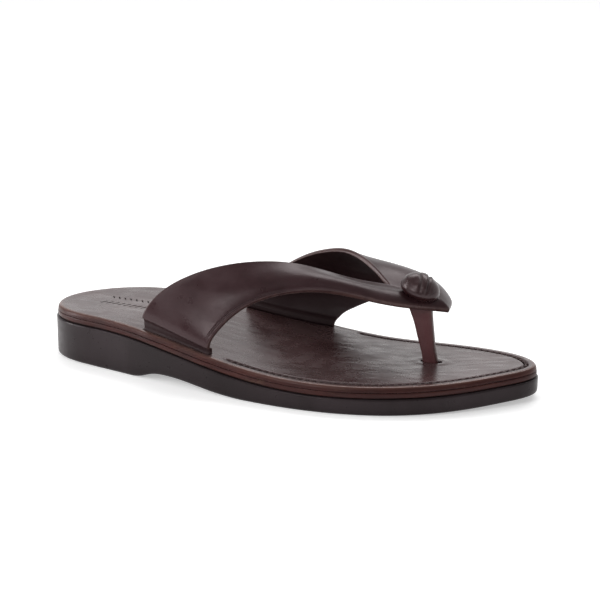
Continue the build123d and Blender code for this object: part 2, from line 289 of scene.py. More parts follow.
class Nodes:
    """Short names for wiring up one material or the world."""

    def __init__(self, owner):
        self.owner = owner
        owner.use_nodes = True
        self.tree = owner.node_tree
        self.shader = self.tree.nodes.get("Principled BSDF")
        self.place = self.add("ShaderNodeNewGeometry").outputs["Position"]

    def add(self, kind, **values):
        node = self.tree.nodes.new(kind)
        for key, value in values.items():
            setattr(node, key, value)
        return node

    def link(self, source, target):
        self.tree.links.new(source, target)

    def noise(self, scale, detail, rough=0.5, stretch=(1, 1, 1), turn=0.0):
        """Noise with scale in features per metre; stretch below 1 lengthens it along an axis."""
        mapping = self.add("ShaderNodeMapping")
        mapping.inputs["Rotation"].default_value = (0, 0, turn)
        mapping.inputs["Scale"].default_value = stretch
        node = self.add("ShaderNodeTexNoise")
        node.inputs["Scale"].default_value = scale
        node.inputs["Detail"].default_value = detail
        node.inputs["Roughness"].default_value = rough
        self.link(self.place, mapping.inputs["Vector"])
        self.link(mapping.outputs["Vector"], node.inputs["Vector"])
        return node.outputs["Fac"]

    def cells(self, scale):
        """Distance to the nearest line between cells, at scale cells per metre."""
        node = self.add("ShaderNodeTexVoronoi", feature="DISTANCE_TO_EDGE")
        node.inputs["Scale"].default_value = scale
        self.link(self.place, node.inputs["Vector"])
        return node.outputs["Distance"]

    def ramp(self, value, stops):
        """Colours by value, from (position, colour) stops."""
        node = self.add("ShaderNodeValToRGB")
        elements = node.color_ramp.elements
        while len(elements) < len(stops):
            elements.new(0.5)
        for element, (position, colour) in zip(elements, stops):
            element.position = position
            element.color = (*colour, 1)
        self.link(value, node.inputs["Fac"])
        return node.outputs["Color"]

    def span(self, value, low, high, to_low, to_high):
        """Maps low..high to to_low..to_high, clamped."""
        node = self.add("ShaderNodeMapRange")
        numbers = {"From Min": low, "From Max": high, "To Min": to_low, "To Max": to_high}
        for key, number in numbers.items():
            node.inputs[key].default_value = number
        self.link(value, node.inputs["Value"])
        return node.outputs["Result"]

    def feed(self, value, socket):
        """Links a socket's output, or sets a plain value."""
        if isinstance(value, bpy.types.NodeSocket):
            self.link(value, socket)
        elif isinstance(value, tuple):
            socket.default_value = (*value, 1)
        else:
            socket.default_value = value

    def mix(self, share, a, b):
        """Mixes two colours; share 0 gives a."""
        node = self.add("ShaderNodeMix", data_type="RGBA")
        for value, slot in ((share, 0), (a, 6), (b, 7)):        # Factor, and the colour inputs
            self.feed(value, node.inputs[slot])
        return node.outputs[2]

    def math(self, operation, a, b):
        node = self.add("ShaderNodeMath", operation=operation)
        for value, slot in ((a, 0), (b, 1)):
            self.feed(value, node.inputs[slot])
        return node.outputs[0]

    def mark(self, name):
        """A number that the mesh carries per vertex."""
        return self.add("ShaderNodeAttribute", attribute_name=name).outputs["Fac"]

    def bump(self, height, strength, distance, before=None):
        """Bump of the distance in metres, on top of the bump before it."""
        node = self.add("ShaderNodeBump")
        node.inputs["Strength"].default_value = strength
        node.inputs["Distance"].default_value = distance
        self.link(height, node.inputs["Height"])
        if before is not None:
            self.link(before, node.inputs["Normal"])
        return node.outputs["Normal"]

    def finish(self, colour, rough, normal, tint=WARM, **values):
        """Feeds the shader; values name its other inputs, with _ for each space."""
        inputs = {"Base Color": colour, "Roughness": rough, "Normal": normal,
                  "Specular Tint": tint}
        for name, value in values.items():
            inputs[name.replace("_", " ")] = value
        for name, value in inputs.items():
            self.feed(value, self.shader.inputs[name])
        return self.owner


def leather(name, dark, mid, light, rough, wrinkle, sheen=0.35, edge=(0.080, 0.042, 0.038),
            turn=0.4):
    """Waxed full-grain leather: cloudy dye, fine pores, long soft wrinkles and burnished edges.

    dark, mid and light are the dye, edge is the colour of a burnished rim (lighter partly as a
    painted highlight), and turn is the direction of the wrinkles in radians.
    """
    n = Nodes(bpy.data.materials.new(name))
    cloud = n.noise(28, 4, 0.6)
    streak = n.noise(60, 3, 0.55, stretch=(0.25, 1, 1), turn=turn)
    colour = n.ramp(cloud, [(0.3, dark), (0.5, mid), (0.72, light)])
    colour = n.mix(n.span(streak, 0.45, 0.75, 0, 0.5), colour, light)
    pores = n.cells(1500)
    colour = n.mix(n.span(pores, 0, 0.12, 0.2, 0), colour, dark)
    # Rims lighter: partly burnished wear, partly a painted highlight along the edge.
    rim_wear_and_highlight = n.math("MULTIPLY", n.mark("rim"), n.span(n.noise(220, 3, 0.7), 0.3, 0.6, 0.3, 1))
    colour = n.mix(rim_wear_and_highlight, colour, edge)
    # Painted shade: the underside (inside) and creases, the stitch groove and the knot's folds
    # (fold) are darkened towards a deeper red.
    shade = n.math("MAXIMUM", n.mark("inside"), n.mark("fold"))
    red, green, blue = dark
    shaded = (red * 0.55, green * 0.35, blue * 0.35)
    colour = n.mix(n.math("MULTIPLY", shade, 0.85), colour, shaded)
    gloss = n.span(n.noise(90, 4, 0.6), 0.3, 0.7, rough - 0.07, rough + 0.09)
    gloss = n.math("ADD", gloss, n.math("MULTIPLY", shade, 0.3))
    fine = n.bump(pores, 0.154, 0.0002)
    crinkle = n.bump(n.noise(520, 5, 0.65), 0.21, 0.0003, fine)
    folds = n.noise(105, 4, 0.5, stretch=(0.22, 1, 1), turn=turn)
    normal = n.bump(folds, wrinkle, 0.001, crinkle)
    return n.finish(colour, gloss, normal, Specular_IOR_Level=sheen, Coat_Weight=0.08,
                    Coat_Roughness=0.25)


def edge_leather(name):
    """Cut leather edge: fibres along the layers, red-brown dye, burnished, a little scuffed, with
    a lighter top rim that is partly a painted highlight, and darker where it meets the other
    layers.
    """
    n = Nodes(bpy.data.materials.new(name))
    layers = n.noise(420, 4, 0.65, stretch=(0.08, 0.08, 1))
    cloud = n.noise(38, 4, 0.6)
    colour = n.ramp(layers, [(0.3, (0.024, 0.005, 0.004)), (0.5, (0.044, 0.010, 0.008)),
                             (0.75, (0.080, 0.025, 0.018))])
    colour = n.mix(n.span(cloud, 0.42, 0.66, 0, 0.7), colour, (0.026, 0.009, 0.008))
    scuff = n.span(n.noise(75, 5, 0.7, stretch=(0.4, 0.4, 1.6)), 0.60, 0.70, 0, 0.45)
    colour = n.mix(scuff, colour, (0.13, 0.075, 0.045))
    # Lighter top rim: partly burnished wear, partly a painted highlight.
    colour = n.mix(n.math("MULTIPLY", n.mark("rim"), 0.7), colour, (0.15, 0.075, 0.06))
    # Darker where the band meets the rubber and the insole.
    colour = n.mix(n.mark("glue"), colour, (0.006, 0.004, 0.004))
    rough = n.span(n.noise(160, 4, 0.6), 0.3, 0.7, 0.30, 0.52)
    fine = n.bump(layers, 0.3, 0.0003)
    normal = n.bump(n.noise(260, 4, 0.6), 0.3, 0.0005, fine)
    return n.finish(colour, rough, normal, Specular_IOR_Level=0.22, Coat_Weight=0.05,
                    Coat_Roughness=0.3)


def moulded_rubber(name):
    """Dark moulded rubber with a faint orange-peel skin and dusty low spots."""
    n = Nodes(bpy.data.materials.new(name))
    cloud = n.noise(22, 3, 0.5, stretch=(1, 1, 0.6))
    colour = n.ramp(cloud, [(0.3, (0.010, 0.006, 0.0065)), (0.5, (0.017, 0.011, 0.012)),
                            (0.72, (0.034, 0.024, 0.027))])
    speck = n.noise(1800, 2, 0.7)
    colour = n.mix(n.span(speck, 0.62, 0.72, 0, 0.15), colour, (0.08, 0.07, 0.07))
    rough = n.span(n.noise(240, 4, 0.6), 0.3, 0.7, 0.26, 0.42)
    fine = n.bump(n.noise(1300, 3, 0.55), 0.10, 0.0002)
    normal = n.bump(n.noise(160, 3, 0.5, stretch=(1, 1, 0.3)), 0.12, 0.0008, fine)
    return n.finish(colour, rough, normal, tint=(1, 0.9, 0.93), Specular_IOR_Level=0.22)


def thread_material(name):
    """Waxed black thread with a twist."""
    n = Nodes(bpy.data.materials.new(name))
    twist = n.add("ShaderNodeTexWave", bands_direction="DIAGONAL")
    twist.inputs["Scale"].default_value = 900
    twist.inputs["Distortion"].default_value = 1.5
    n.link(n.place, twist.inputs["Vector"])
    strands = twist.outputs["Fac"]
    colour = n.ramp(strands, [(0.2, (0.016, 0.008, 0.008)), (0.8, (0.09, 0.055, 0.05))])
    return n.finish(colour, 0.5, n.bump(strands, 0.6, 0.0002))


def nail_metal(name):
    """Dull drawn steel."""
    n = Nodes(bpy.data.materials.new(name))
    drawn = n.noise(2500, 3, 0.6, stretch=(1, 1, 0.1))
    colour = n.ramp(drawn, [(0.3, (0.32, 0.31, 0.30)), (0.7, (0.56, 0.55, 0.54))])
    rough = n.span(drawn, 0.3, 0.7, 0.3, 0.5)
    return n.finish(colour, rough, n.bump(drawn, 0.2, 0.0001), tint=WHITE, Metallic=1.0)


VAMP_LEATHER = leather(
    "vamp_leather", (0.018, 0.0055, 0.0065), (0.031, 0.011, 0.013), (0.052, 0.026, 0.029),
    rough=0.33, wrinkle=0.12, sheen=0.32)
# Painted light: a lighter dye than the knot, which is the same strip, stands in for the light the
# post reflects.
LIT_POST_LEATHER = leather(
    "post_leather", (0.055, 0.014, 0.016), (0.088, 0.026, 0.028), (0.13, 0.052, 0.055),
    rough=0.32, wrinkle=0.12, turn=1.57)
KNOT_LEATHER = leather(
    "knot_leather", (0.016, 0.005, 0.006), (0.028, 0.009, 0.010), (0.042, 0.018, 0.019),
    rough=0.30, wrinkle=0.2, sheen=0.5)
# Its rim colour is a light tan: partly burnished wear, partly a painted highlight on the top edge.
INSOLE_LEATHER = leather(
    "insole_leather", (0.030, 0.012, 0.012), (0.050, 0.024, 0.024), (0.080, 0.046, 0.046),
    rough=0.27, wrinkle=0.40, edge=(0.15, 0.085, 0.07), sheen=0.5)
BAND_LEATHER = edge_leather("band_leather")
RUBBER = moulded_rubber("outsole_rubber")
THREAD = thread_material("thread")
NAIL = nail_metal("nail_steel")


def wear(obj, material, slot, body, *nodes):
    """Paints a piece, ties it to its body and hides the CAD nodes it stands for."""
    obj.data.materials.clear()
    obj.data.materials.append(material)
    if body:
        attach(obj, body)
    if nodes:
        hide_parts(*nodes)
    return obj


# --- outsole -------------------------------------------------------------------------------------
OUTSOLE_SHARP = 45                      # degrees
HIDDEN_INSET = -6                       # margin where a layer's flat faces are filled in
HIDDEN_COLUMNS = 4                      # columns across a face that no one sees
TREAD_ROWS = ((12, 60), (152, 264))     # x of the first and last groove, under heel and ball
TREAD_PITCH = 8.0
TREAD_RIM = 7                           # plain border round the grooves
TREAD_HALF = 1.1                        # half a groove's width
TREAD_DEPTH = 1.4

# (margin past the footbed, share of the way from underside to top, rise above that)
OUTSOLE_PROFILE = [
    (HIDDEN_INSET, 0, 0), (-1.2, 0, 0), (0.6, 0, 0.12), (1.3, 0, 0.5), (1.75, 0, 1.1),
    (1.95, 0, 2.0), (2.0, 0.25, 1.1), (2.05, 0.5, 0.2), (2.1, 0.75, -0.7), (2.15, 1, -1.6),
    (2.15, 1, -0.9), (2.0, 1, -0.4), (1.5, 1, -0.1), (0.6, 1, 0), (HIDDEN_INSET, 1, 0),
]


def ring_at(margin, height):
    """Points round the sole at a margin past the footbed's outline, at height(x)."""
    plan = OUTLINE + OUTWARD * np.broadcast_to(margin, STATIONS)[:, None]
    return np.column_stack([plan, height(plan[:, 0])])


def make_outsole():
    shell = Shell()
    rings = []
    for margin, share, rise in OUTSOLE_PROFILE:
        ring = ring_at(margin, lambda x: under(x) * (1 - share) + seat(x) * share + rise)
        rings.append(shell.add(ring))
    shell.stack(rings)
    shell.fill(rings[0], 24, lambda x, y: under(x))
    shell.fill(rings[-1], HIDDEN_COLUMNS, lambda x, y: seat(x))
    obj = shell.build("outsole_rubber", OUTSOLE_SHARP)
    cut(obj, [tread_cutter()], OUTSOLE_SHARP)
    return wear(obj, RUBBER, "outsole_rubber", "sole", "outsole")


def tread_cutter():
    """Grooves across the heel and ball, inside a plain rim, as in the CAD."""
    inner_edge = OUTLINE - OUTWARD * TREAD_RIM
    lines = []
    for side in (OUTER_SIDE, ~OUTER_SIDE):
        line = inner_edge[side]
        lines.append(line[np.argsort(line[:, 0])])
    shell = Shell()
    for first, last in TREAD_ROWS:
        for x in np.arange(first, last + 1, TREAD_PITCH):
            x0, x1 = x - TREAD_HALF, x + TREAD_HALF
            y0, y1 = (np.interp(x, line[:, 0], line[:, 1]) for line in lines)
            prism(shell, [(x0, y0), (x1, y0), (x1, y1), (x0, y1)], -3, under(x) + TREAD_DEPTH)
    return shell.build("tread_cutter")


# --- midsole -------------------------------------------------------------------------------------
SWELL_SIZE = 0.5                        # the layers stand out where they sandwich the vamp's ends
OUTER_SWELL = (66, 78, 114, 126)        # x where that starts, is full, is still full and ends
INNER_SWELL = (96, 108, 147, 160)

# (margin, height above the rubber, raggedness, darkening where the band meets the rubber and the
# insole)
MIDSOLE_PROFILE = [
    (HIDDEN_INSET, LAYER_GAP, 0, 0), (-0.6, LAYER_GAP, 0, 1), (0.6, 0.04, 0.10, 1),
    (1.0, 0.25, 0.22, 1), (1.15, 0.55, 0.2, 0.6), (1.3, 0.95, 0.12, 0), (1.4, 1.6, 0.06, 0),
    (1.4, 2.3, 0.05, 0), (1.35, 2.9, 0.04, 0), (1.25, 3.2, 0.03, 0.15), (0.95, 3.36, 0, 0.3),
    (-1.0, MIDSOLE_TOP, 0, 0.7), (HIDDEN_INSET, MIDSOLE_TOP, 0, 0),
]


def swell():
    """Outward bulge of the band round the sole, by station."""
    x = OUTLINE[:, 0]
    outer, inner = (smooth(start, full, x) * (1 - smooth(last, end, x))
                    for start, full, last, end in (OUTER_SWELL, INNER_SWELL))
    return SWELL_SIZE * np.where(OUTER_SIDE, outer, inner)


def raggedness():
    """Unevenness of the cut leather round the sole, by station."""
    coarse, fine = (np.array([noise_at((x, y, 0), (size, size, 1), seed) for x, y in OUTLINE])
                    for size, seed in ((5, 1.7), (1.8, 4.1)))
    return coarse + 0.6 * fine


SWELL = swell()


def make_midsole():
    shell = Shell()
    ragged = raggedness()
    rings = []
    for margin, rise, rag, glue in MIDSOLE_PROFILE:
        swelling = SWELL * (0.3 < rise < 3.3)
        ring = ring_at(margin + swelling + rag * ragged, lambda x: seat(x) + rise)
        if rise < 1:
            ring[:, 2] += rag * ragged
        rings.append(shell.add(ring, glue=glue))
    shell.stack(rings)
    shell.fill(rings[0], HIDDEN_COLUMNS, lambda x, y: seat(x) + LAYER_GAP)
    shell.fill(rings[-1], HIDDEN_COLUMNS, lambda x, y: seat(x) + MIDSOLE_TOP)
    obj = shell.build("midsole_leather", 60)
    return wear(obj, BAND_LEATHER, "midsole_leather", "sole", "midsole")


# --- insole --------------------------------------------------------------------------------------
INSOLE_SHARP = 50                       # degrees
SEWN_FROM = {"outer": 126.0, "inner": 169.0}    # x where the stitching starts on each side
SLOT_DEPTH = 3.3
SLOT_GAP = 0.5                          # room beside the leather that passes through
CLEAR = 4                               # cutters reach this far above the footbed
HEEL_CUP = (38, 26, 20, 0.5)            # x of its middle, reach along and across, depth
POST_PULL = (8.5, 5.5)                  # half sizes of the pucker round the toe post
WRINKLES = ((26, 5.5, 0.10, 0.7), (9, 2.6, 0.05, 2.3))      # length, width, height, seed
MOTIF_ROWS = ((-7.5, 1), (4.0, -1))     # y of each row, and which way its dashes lean
MOTIF_START = 24
MOTIF_PITCH = 3.9
MOTIF_COUNT = 11
MOTIF_DEPTH = 0.9
# corners of a dash: along the shoe, across it in the way the dash leans, and across it
MOTIF_DASH = ((-1.7, -2.1, -0.3), (-0.6, -2.1, -0.5), (1.7, 2.1, 0.3), (0.6, 2.1, 0.5))

# (margin, height above the rubber, wear of the rim, which also paints a highlight along the top
# edge)
INSOLE_EDGE = [
    (HIDDEN_INSET, MIDSOLE_TOP + LAYER_GAP, 0), (0.2, MIDSOLE_TOP + LAYER_GAP, 0),
    (0.95, 3.45, 0), (1.2, 3.62, 0), (1.15, 4.4, 0), (1.0, 5.1, 0.1), (0.7, 5.8, 0.25),
    (0.3, 6.3, 0.8), (-0.2, 6.55, 1.0), (-0.8, 6.64, 0.7), (-1.5, 6.64, 0.25), (-2.2, 6.6, 0.05),
]
# (inset, depth) of the groove that holds the stitches, with its raised lips
GROOVE = [
    (2.7, -0.12), (3.1, 0.15), (3.35, 0.8), (3.7, 1.15), (5.5, 1.15), (5.85, 0.8), (6.1, 0.15),
    (6.5, -0.12), (7.7, 0),
]


def relief(x, y):
    """Footbed's relief: long soft wrinkles, a shallow heel cup and a pucker at the toe post."""
    height = 0
    for length, width, size, seed in WRINKLES:
        height += size * noise_at((x * 0.9 + y * 0.43, y * 0.9 - x * 0.43, 0),
                                  (length, width, 1), seed)
    height *= 0.35 + 0.65 * float(smooth(110, 170, x))
    cup_x, cup_long, cup_wide, cup_depth = HEEL_CUP
    height -= cup_depth * bell(math.hypot((x - cup_x) / cup_long, y / cup_wide), 1)
    away = math.hypot((x - POST_BASE[0]) / POST_PULL[0], (y - POST_BASE[1]) / POST_PULL[1])
    return height + 0.55 * bell(away - 1.0, 0.35) - 0.3 * bell(away, 1.9)


def make_insole():
    shell = Shell()
    start = np.where(OUTER_SIDE, SEWN_FROM["outer"], SEWN_FROM["inner"])
    sewn = smooth(0, 2.5, OUTLINE[:, 0] - start)
    rings = []
    for margin, rise, rim in INSOLE_EDGE:
        ring = ring_at(margin + SWELL * (3.5 < rise < 6.4), lambda x: seat(x) + rise)
        rings.append(shell.add(ring, rim=rim))
    for inset, depth in GROOVE:
        ring = ring_at(-inset, footbed)
        uneven = np.array([relief(x, y) for x, y in ring[:, :2]])
        ring[:, 2] += uneven * smooth(3.4, 7, inset) - depth * sewn
        # The fold mark paints shade into the stitch groove.
        rings.append(shell.add(ring, fold=np.clip(depth, 0, 1) * sewn))
    shell.stack(rings)
    shell.fill(rings[0], HIDDEN_COLUMNS, lambda x, y: seat(x) + MIDSOLE_TOP + LAYER_GAP)
    shell.fill(rings[-1], 52, lambda x, y: footbed(x) + relief(x, y))
    obj = shell.build("insole_leather", INSOLE_SHARP)
    cut(obj, [slot_cutter(), motif_cutter()], INSOLE_SHARP)
    wear(obj, INSOLE_LEATHER, "insole_leather", "sole", "insole")
    obj.data.materials.append(BAND_LEATHER)
    for face in obj.data.polygons:
        if abs(face.normal.z) < 0.75 and on_rim(face.center):
            face.material_index = 1
    return obj


def on_rim(centre, reach=1.9):
    """Whether a place in the row frame is that close to the footbed's outline."""
    x, y = centre.x * MM - SHIFT[0], centre.y * MM - SHIFT[1]
    return np.min(np.hypot(OUTLINE[:, 0] - x, OUTLINE[:, 1] - y)) < reach


def slot_cutter():
    """The two side slots and the toe post's slot."""
    shell = Shell()
    for (x0, y0), (x1, y1) in (OUTER_SLOT, INNER_SLOT):
        inward = 1 if y0 < 0 else -1
        x0, x1 = x0 - SLOT_GAP, x1 + SLOT_GAP
        outside, inside = -inward * 0.4, inward * (VAMP_THICK + SLOT_GAP)
        corners = [(x0, y0 + outside), (x1, y1 + outside), (x1, y1 + inside), (x0, y0 + inside)]
        tops = np.array([footbed(x) for x, y in corners])
        prism(shell, corners, tops - SLOT_DEPTH, tops + CLEAR)
    x, y = POST_BASE
    slot = ((-5.0, -2.1), (6.0, -2.3), (7.6, -1.0), (6.4, 2.1), (-4.9, 2.3), (-6.0, 0.4))
    corners = [(x + i, y + j) for i, j in slot]
    prism(shell, corners, footbed(x) - SLOT_DEPTH, footbed(x) + CLEAR)
    return shell.build("slot_cutter")


def motif_cutter():
    """A plain tooled border on the heel seat: two rows of slanted dashes."""
    shell = Shell()
    for row_y, lean in MOTIF_ROWS:
        for i in range(MOTIF_COUNT):
            x = MOTIF_START + i * MOTIF_PITCH
            top = footbed(x) + relief(x, row_y)
            corners = [(x + along, row_y + across * lean + end)
                       for along, across, end in MOTIF_DASH]
            prism(shell, corners, top - MOTIF_DEPTH, top + CLEAR / 2)
    return shell.build("motif_cutter")


# --- stitches ------------------------------------------------------------------------------------
STITCH_INSET = 4.6
STITCH_PITCH = 4.2
STITCH_SPAN = (0.2, 0.8)                # where a stitch starts and ends in its pitch
STITCH_SINK = 0.35
STITCH_LEAN = 0.6                       # its ends lie this far either side of the line
THREAD_RADIUS = 0.75
THREAD_DIP = 0.25                       # how far a stitch's ends go down
# (share of the stitch's length, thickness there)
THREAD_PROFILE = [
    (0, 0.35), (0.08, 0.8), (0.25, 1), (0.5, 1.05), (0.75, 1), (0.92, 0.8), (1, 0.35),
]


def unit(vector):
    return vector / np.linalg.norm(vector)


def stitch(shell, start, end):
    """A round-ended length of thread between two points."""
    axis = end - start
    side = unit(np.cross(axis, (0, 0, 1)))
    up = np.cross(side, unit(axis))
    turns = [math.tau * k / 8 for k in range(8)]
    rings = []
    for share, size in THREAD_PROFILE:
        centre = start + axis * share - up * THREAD_DIP * abs(2 * share - 1) ** 3
        rings.append(shell.add([centre + (side * math.cos(a) + up * math.sin(a))
                                * THREAD_RADIUS * size for a in turns]))
    shell.stack(rings)
    shell.cap(rings)


def make_stitches():
    shell = Shell()
    line = OUTLINE - OUTWARD * STITCH_INSET
    line = np.vstack([line, line[:1]])
    travel = travel_along(line)
    count = round(travel[-1] / STITCH_PITCH)
    for i in range(count):
        at = (i + np.array(STITCH_SPAN)) / count * travel[-1]
        plan = sample(line, travel, at)
        ends = np.column_stack([plan, footbed(plan[:, 0]) - STITCH_SINK])
        side = "outer" if ends[0, 1] < 0 else "inner"
        if ends[:, 0].min() > SEWN_FROM[side] + 1.5:
            lean = unit(np.cross(ends[1] - ends[0], (0, 0, 1))) * STITCH_LEAN
            stitch(shell, ends[0] + lean, ends[1] - lean)
    obj = shell.build("edge_stitching")
    return wear(obj, THREAD, "thread", "sole", "edge_stitches")


# --- vamp ----------------------------------------------------------------------------------------
VAMP_SHARP = 60                         # degrees
# The vamp's back and front edges on each side, between the slots and the tips over the foot.
THROAT = (203, 4, 58.6)
BEAK = (237.8, 8, 47.2)
OUTER_BACK = [(73, -46.8, 37), (82, -45.2, 51), (98, -40.5, 62), (126, -30, 70.6), (156, -16, 70),
              (183, -5, 62.5)]
OUTER_FRONT = [(119, -53.6, 28), (125, -50.5, 39), (137, -43.5, 50), (156, -33, 57),
               (179, -24, 58.4), (206, -16, 54.6)]
INNER_BACK = [(190, 12, 65.5), (171, 22, 71), (152, 31, 67.8), (133, 38, 60), (114, 41, 48),
              (101, 39.5, 36)]
INNER_FRONT = [(228, 32, 46.5), (206, 42, 44.5), (186, 47.5, 40), (171, 49.3, 34),
               (160.5, 48.7, 28), (153, 45.4, 22)]
# Stations run from 0 at the outer slot, over 1 at the tips, to 2 at the inner slot.
SLOT_ZONE = 0.09                        # stations lie closer together up to here
SIDE_SHARES = np.concatenate([np.linspace(0, SLOT_ZONE, 26)[:-1], np.linspace(SLOT_ZONE, 1, 80)])
# (station, how far the leather rises across its middle)
CROWNS = [(0, 0), (0.25, 2.6), (0.6, 2.8), (1, 3.5), (1.12, 6.3), (1.5, 5.5), (1.75, 4.2), (2, 0)]
CROWN_LEAN = 1.8                        # moves the crown towards the front edge
FOOT_DIP = 2.0                          # the leather's ends go this far into the slots
TOP_ROUND = 1.0
LOW_ROUND = 0.8
EDGE_STEPS = np.array([0.0, 0.08, 0.25, 0.6, 1.0, 1.3, 1.6, 1.8, 2.0, 2.2, 2.5, 2.75, 3.0, 3.2,
                       3.6, 4.2])
MIDDLE_FROM = 5.4                       # plain middle's distance from the edges
EDGE_LINES = ((1.9, 0.22, 0.42), (2.9, 0.2, 0.34))      # from the front edge: place, width, depth
OUTER_CREASE = (8.4, 4.4)               # its height over the footbed, at the back and the front
INNER_CREASE = (5.0, 5.0)
RIPPLES = (((30, 9, 14), 0.16, 5.2), ((9, 4, 5), 0.05, 1.2))    # sizes, height, seed
SLIT = ((212.6, 1.2), (229.5, 6.9))     # opening that the toe post passes through


def slot_foot(slot, end):
    """Where an edge of the vamp goes into its slot."""
    x, y = slot[end]
    inward = 1 if y < 0 else -1
    return (x, y + inward * 0.1, footbed(x) - FOOT_DIP)


def averaged(values, times):
    """The values with their differences evened out, ends kept."""
    values = values.copy()
    for _ in range(times):
        values[1:-1] = (values[:-2] + values[1:-1] + values[2:]) / 3
    return values


def crown_at(stations):
    """Rise of the leather across its middle, by station."""
    even = np.linspace(0, 2, 201)
    return np.interp(stations, even, averaged(np.interp(even, *zip(*CROWNS)), 30))


def rail(points, shares, count=600):
    """Points on a smooth curve through the given ones, at shares of its length."""
    return sample(spline(points, count), np.arange(count + 1), shares * count)


def edge_rail(outer, tip, inner, end):
    """One edge of the vamp, from one end of the outer slot over the tip to the inner slot."""
    out = rail([slot_foot(OUTER_SLOT, end), *outer, tip], SIDE_SHARES)
    back = rail([tip, *inner, slot_foot(INNER_SLOT, end)], 1 - SIDE_SHARES[::-1])
    return np.vstack([out, back[1:]])


def upward(backs, across):
    """Unit normals of the leather at each station, evened out along it."""
    middle = backs + across / 2
    travel = travel_along(middle)
    even = np.linspace(0, travel[-1], 180)
    along = averaged(np.gradient(sample(middle, travel, even), axis=0), 6)
    normals = np.cross(across, sample(along, even, travel))
    return normals / np.linalg.norm(normals, axis=1)[:, None]


def rounded(travel, radius):
    """How far a rounded edge has dropped at a distance in from it."""
    inward = 1 - np.minimum(travel / radius, 1)
    return radius * (1 - np.sqrt(np.clip(1 - inward ** 2, 0, 1)))


def tuck(height):
    """Outward shift by height (crease at 1): a bulge, and below it a fold inwards."""
    bulge = 2.1 * smooth(0.80, 1.04, height) * (1 - smooth(1.4, 4.2, height))
    return bulge - 0.9 * smooth(0, 0.2, height) * (1 - smooth(0.6, 0.86, height))


def vamp_ring(back, across, normal, crown, station):
    """Points round one section of the vamp, with their marks.

    The ring runs over the top from the back edge to the front edge, and returns below.
    """
    width = np.linalg.norm(across)
    middle = np.linspace(MIDDLE_FROM, width - MIDDLE_FROM, 24)
    top = np.concatenate([EDGE_STEPS, middle, width - EDGE_STEPS[::-1]])
    from_edge = np.minimum(top, width - top)
    lined = float(smooth(0.05, 0.12, station) * (1 - smooth(0.30, 0.46, station)))
    upper = -rounded(from_edge, TOP_ROUND)
    for place, line_width, depth in EDGE_LINES:
        upper -= depth * lined * bell(width - top - place, line_width)
    lower = rounded(from_edge, LOW_ROUND) - VAMP_THICK

    share = np.concatenate([top, top[::-1]]) / width
    on_top = np.arange(len(share)) < len(top)
    rise = crown * 4 * share ** CROWN_LEAN * (1 - share ** CROWN_LEAN)
    rise += np.concatenate([upper, lower[::-1]])
    points = back + across * share[:, None] + normal * rise[:, None]

    height = points[:, 2] - footbed(points[:, 0])
    at_back, at_front = OUTER_CREASE if station < 1 else INNER_CREASE
    height_in_creases = height / (at_back + (at_front - at_back) * share)
    if abs(station - 1) > 0.5:
        points[:, 1] += np.where(points[:, 1] < 0, -1, 1) * tuck(height_in_creases)
    ripple = sum(size * np.array([noise_at(p, scale, seed) for p in points])
                 for scale, size, seed in RIPPLES)
    points += normal * (ripple * smooth(3, 12, height))[:, None]

    from_edge = np.concatenate([from_edge, from_edge[::-1]])
    # rim: worn edges, lighter partly as a painted highlight. inside: painted shade on the
    # underside. fold: painted shade on the band below the crease.
    marks = {
        "rim": np.exp(-from_edge / 0.7),
        "inside": ~on_top * smooth(0.3, 1.5, from_edge),
        "fold": on_top * 0.8 * (1 - smooth(0.65, 0.95, height_in_creases)),
    }
    return points, marks


def make_vamp():
    backs = edge_rail(OUTER_BACK, THROAT, INNER_BACK, 0)
    across = edge_rail(OUTER_FRONT, BEAK, INNER_FRONT, 1) - backs
    stations = np.concatenate([SIDE_SHARES, 2 - SIDE_SHARES[-2::-1]])
    sections = zip(backs, across, upward(backs, across), crown_at(stations), stations)
    shell = Shell()
    rings = []
    for section in sections:
        points, marks = vamp_ring(*section)
        rings.append(shell.add(points, **marks))
    shell.stack(rings)
    shell.cap(rings)
    obj = shell.build("vamp_leather", VAMP_SHARP)
    cut(obj, [slit_cutter()], VAMP_SHARP)
    wear(obj, VAMP_LEATHER, "vamp_leather", None, "vamp")
    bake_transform(obj)
    return obj


def slit_cutter():
    """A long octagon right through the vamp's front."""
    shell = Shell()
    (x0, y0), (x1, y1) = SLIT
    middle = (y0 + y1) / 2
    corners = [(x0 + 2, y0), (x1 - 2, y0), (x1, middle - 1), (x1, middle + 1),
               (x1 - 2, y1), (x0 + 2, y1), (x0, middle + 1), (x0, middle - 1)]
    prism(shell, corners, 40, 72)
    return shell.build("slit_cutter")


# --- toe post ------------------------------------------------------------------------------------
# (x of the back edge, x of the front edge, y, z) from inside the sole up into the knot
POST_SECTIONS = [
    (223.7, 232.3, 5.0, 12.6), (223.6, 232.1, 5.0, 17), (222.3, 231.0, 4.7, 24),
    (220.4, 230.3, 4.4, 31), (218.4, 229.6, 4.0, 39), (215.9, 229.2, 3.6, 46),
    (214.2, 228.9, 3.3, 52), (213.6, 228.6, 3.0, 59),
]
POST_HALF = 1.7                         # half its thickness
POST_CORNER = 0.9                       # radius of its edges
POST_HOLLOW = 0.25                      # both faces dip this much in the middle
TAIL_HALF = 4.3                         # the tail lies flat under the insole
TAIL_LENGTH = 18
TAIL_THICK = 2.4


def strap_loop(half_width, half_thick, corner, steps=4):
    """A rounded rectangle as (across, through) points, counterclockwise."""
    flat = half_width - corner
    points = []
    for cx, cy, start in ((1, 1, 0), (-1, 1, 90), (-1, -1, 180), (1, -1, 270)):
        for k in range(steps + 1):
            a = math.radians(start + 90 * k / steps)
            points.append((cx * flat + corner * math.cos(a),
                           cy * (half_thick - corner) + corner * math.sin(a)))
        if cx == cy:
            points += [(x * flat, cy * half_thick) for x in np.linspace(cx, -cx, 7)[1:-1]]
    return points


